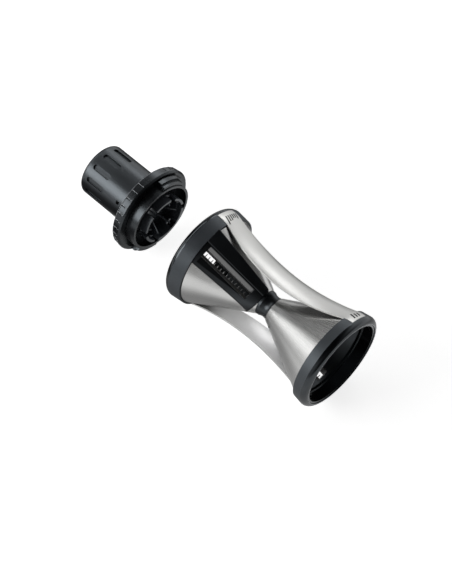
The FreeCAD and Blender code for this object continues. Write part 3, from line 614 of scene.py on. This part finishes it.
# %% [markdown]
# ### Seams and lips
# Where the steel ends in a rim there is a thin dark joint, and the mouth's lip has a fine edge that
# always catches some light; the hoop on the lip is a light grey, a painted highlight. Both are full
# circles. A torus from Blender's own menu would have to be turned onto the axis. A few lines that lay
# small circles round a large one put the ring there directly.

# %% Hoops
HOOP_STEPS, HOOP_SIDES = 160, 8
SEAM_RADIUS, SEAM_THICK = 0.0373, 0.00028
LIP_RADIUS, LIP_THICK, LIP_DEPTH = 0.0359, 0.00026, 0.00018
BAND_A, BAND_B = 0.0153, 0.0121


def hoop(name, x, radius, thick, finish, body):
    """A thin closed ring round the tool's axis."""
    points = []
    for i in range(HOOP_STEPS):
        for j in range(HOOP_SIDES):
            turn = math.tau * j / HOOP_SIDES
            ring = (x + thick * math.cos(turn), radius + thick * math.sin(turn))
            points.append(at_axis(*ring, 360 * i / HOOP_STEPS))
    faces = []
    for i in range(HOOP_STEPS):
        near, far = i * HOOP_SIDES, (i + 1) % HOOP_STEPS * HOOP_SIDES
        for j in range(HOOP_SIDES):
            k = (j + 1) % HOOP_SIDES
            faces.append((near + j, near + k, far + k, far + j))
    small_part(name, points, faces, finish, body)


for end, mouth, inward, band in (("a", MOUTH_A, 1, BAND_A), ("b", MOUTH_B, -1, BAND_B)):
    hoop("cone_seam_" + end, mouth + inward * band, SEAM_RADIUS, SEAM_THICK, "seam_and_shadow_black", "slicer")
    # The lip hoop is a painted highlight in a light grey.
    hoop("lip_highlight_" + end, mouth + inward * LIP_DEPTH, LIP_RADIUS, LIP_THICK, "edge_highlight_paint", "slicer")
print("a hoop has", HOOP_STEPS * HOOP_SIDES, "points")

# %% [markdown]
# ### Groove edges
# The holder's ring has rows of fine grooves for the fingers. What the eye sees of each one is the light
# on one of its edges. The solid's edge is too sharp to show it, and a bevel on every edge would change
# the solid. So a thin curved slab in a light grey, a painted highlight, lies along each edge, sunk into
# the ring and just proud of it. It runs in two steps, over the ribbed band and a little way onto the
# flange. A hoop gives the ring's back the same painted light line.

# %% Groove edges
GROOVE_STEP = 10.6  # degrees
GROOVES = 14
FIRST_GROOVES = (58.7, 238.7)  # degrees
EDGE_START, EDGE_END = 1.45, 0.80  # degrees before a groove's middle
ON_BAND = ((-0.0735, -0.0690), (0.0356, 0.03595))
ON_FLANGE = ((-0.0690, -0.0676), (0.0362, 0.03655))
BACK_X, BACK_RADIUS, BACK_THICK = -0.0744, 0.0346, 0.00014
SLAB_STEPS = 3


def slabs(name, boxes, finish, body):
    """Curved slabs with four corners at each step, each (x range, radius range, degree range)."""
    points, faces = [], []
    for (x0, x1), (r0, r1), (d0, d1) in boxes:
        base = len(points)
        for i in range(SLAB_STEPS + 1):
            degrees = d0 + (d1 - d0) * i / SLAB_STEPS
            points += [at_axis(x, r, degrees) for x, r in ((x0, r0), (x1, r0), (x1, r1), (x0, r1))]
        for i in range(SLAB_STEPS):
            low = base + 4 * i
            faces += [(low + j, low + (j + 1) % 4, low + 4 + (j + 1) % 4, low + 4 + j) for j in range(4)]
        last = base + 4 * SLAB_STEPS
        faces += [(base + 3, base + 2, base + 1, base), (last, last + 1, last + 2, last + 3)]
    small_part(name, points, faces, finish, body)


edges = []
for first in FIRST_GROOVES:
    for i in range(GROOVES):
        middle = first - GROOVE_STEP * i
        edges += [(*place, (middle - EDGE_START, middle - EDGE_END)) for place in (ON_BAND, ON_FLANGE)]
# These slabs and the hoop below are painted highlights in a light grey.
slabs("groove_edge_highlights", edges, "edge_highlight_paint", "collar")
hoop("ring_back_highlight", BACK_X, BACK_RADIUS, BACK_THICK, "edge_highlight_paint", "collar")
print("groove edges:", len(edges))

# %% [markdown]
# ### Shadows in the latch windows
# The knob has two small windows for the latches that hold it, and each looks like a black hole. In the
# model the latch's tip nearly fills the window and catches some light. A blacker finish on the core would
# show elsewhere too, so a thin black slab lies over each tip, just inside the window, as a painted shadow.

# %% Latch shadows
LATCH_ANGLES = (-31.3, 148.7)  # degrees
LATCH_PLACE = ((-0.08655, -0.08385), (0.02163, 0.02170))
LATCH_HALF = 3.55  # degrees

shadows = [(*LATCH_PLACE, (angle - LATCH_HALF, angle + LATCH_HALF)) for angle in LATCH_ANGLES]
# The slabs are painted shadow over the latch tips.
slabs("latch_shadows", shadows, "seam_and_shadow_black", "grip")
print("latch shadows:", len(shadows))

# %% [markdown]
# ## The printed bars
# Bars are printed on the ends of the upper strip, to tell its two mouths apart. An image could be
# projected onto the strip, but bars are simple enough to be built, and then they are sharp at any size.
# The strip is bowed, so every point of a bar is dropped onto the strip's outer face along the line to
# the axis, and raised by the thickness of the ink. Each bar slants a little round the strip as it runs
# along it.

# %% Printed bars
INK = 0.00004
SLANT = 400.0  # degrees per metre
DROP_FROM = 0.060
BAR_STEPS = 6
strip_tree = BVHTree.FromObject(nodes["side_strip_upper"], bpy.context.evaluated_depsgraph_get())


def printed_bar(start, end, middle, width):
    """One bar along X, `width` degrees wide and three points across, as its points and faces."""
    points = []
    for i in range(BAR_STEPS + 1):
        x = start + (end - start) * i / BAR_STEPS
        axis_point = Vector((x, 0.0, AXIS_HEIGHT))
        for j in range(3):
            above = at_axis(x, DROP_FROM, middle + SLANT * (x - start) + width * (j - 1) / 2)
            hit = strip_tree.ray_cast(above, (axis_point - above).normalized())[0]
            points.append(hit + (above - axis_point).normalized() * INK)
    faces = []
    for i in range(BAR_STEPS):
        faces += [(3 * i + j, 3 * i + j + 1, 3 * i + j + 4, 3 * i + j + 3) for j in range(2)]
    return points, faces


def bar_set(name, bars):
    """All bars of one end in one mesh."""
    points, faces = [], []
    for bar in bars:
        base = len(points)
        some_points, some_faces = printed_bar(*bar)
        points += some_points
        faces += [tuple(base + k for k in face) for face in some_faces]
    small_part(name, points, faces, "ink", "slicer")


# %% [markdown]
# ### Fine and coarse
# Six thin bars at mouth A stand for the fine cut, three wide ones at mouth B for the coarse cut. They are
# plain marks with no words. Each set is a short list of numbers rather than a drawing, so a length, an
# angle or the number of bars can be changed in one place. Angles and widths are in degrees.

# %% Fine bars at mouth A, coarse bars at mouth B
FINE_LENGTHS = (0.0072, 0.0052, 0.0052, 0.0040, 0.0040, 0.0052)
FINE_START, FINE_ANGLE, FINE_STEP, FINE_WIDTH = -0.0060, 65.0, 3.3, 1.7
COARSE_BARS = 3
COARSE_START, COARSE_END, COARSE_SHIFT = 0.1188, 0.1152, 0.0006
COARSE_ANGLE, COARSE_STEP, COARSE_WIDTH = 58.7, 4.6, 2.2

fine = [
    (FINE_START, FINE_START + length, FINE_ANGLE - FINE_STEP * i, FINE_WIDTH)
    for i, length in enumerate(FINE_LENGTHS)
]
coarse = [
    (COARSE_START, COARSE_END - COARSE_SHIFT * i, COARSE_ANGLE + COARSE_STEP * (i - 1), COARSE_WIDTH)
    for i in range(COARSE_BARS)
]
bar_set("fine_bars", fine)
bar_set("coarse_bars", coarse)
print("bars:", len(fine), "and", len(coarse))
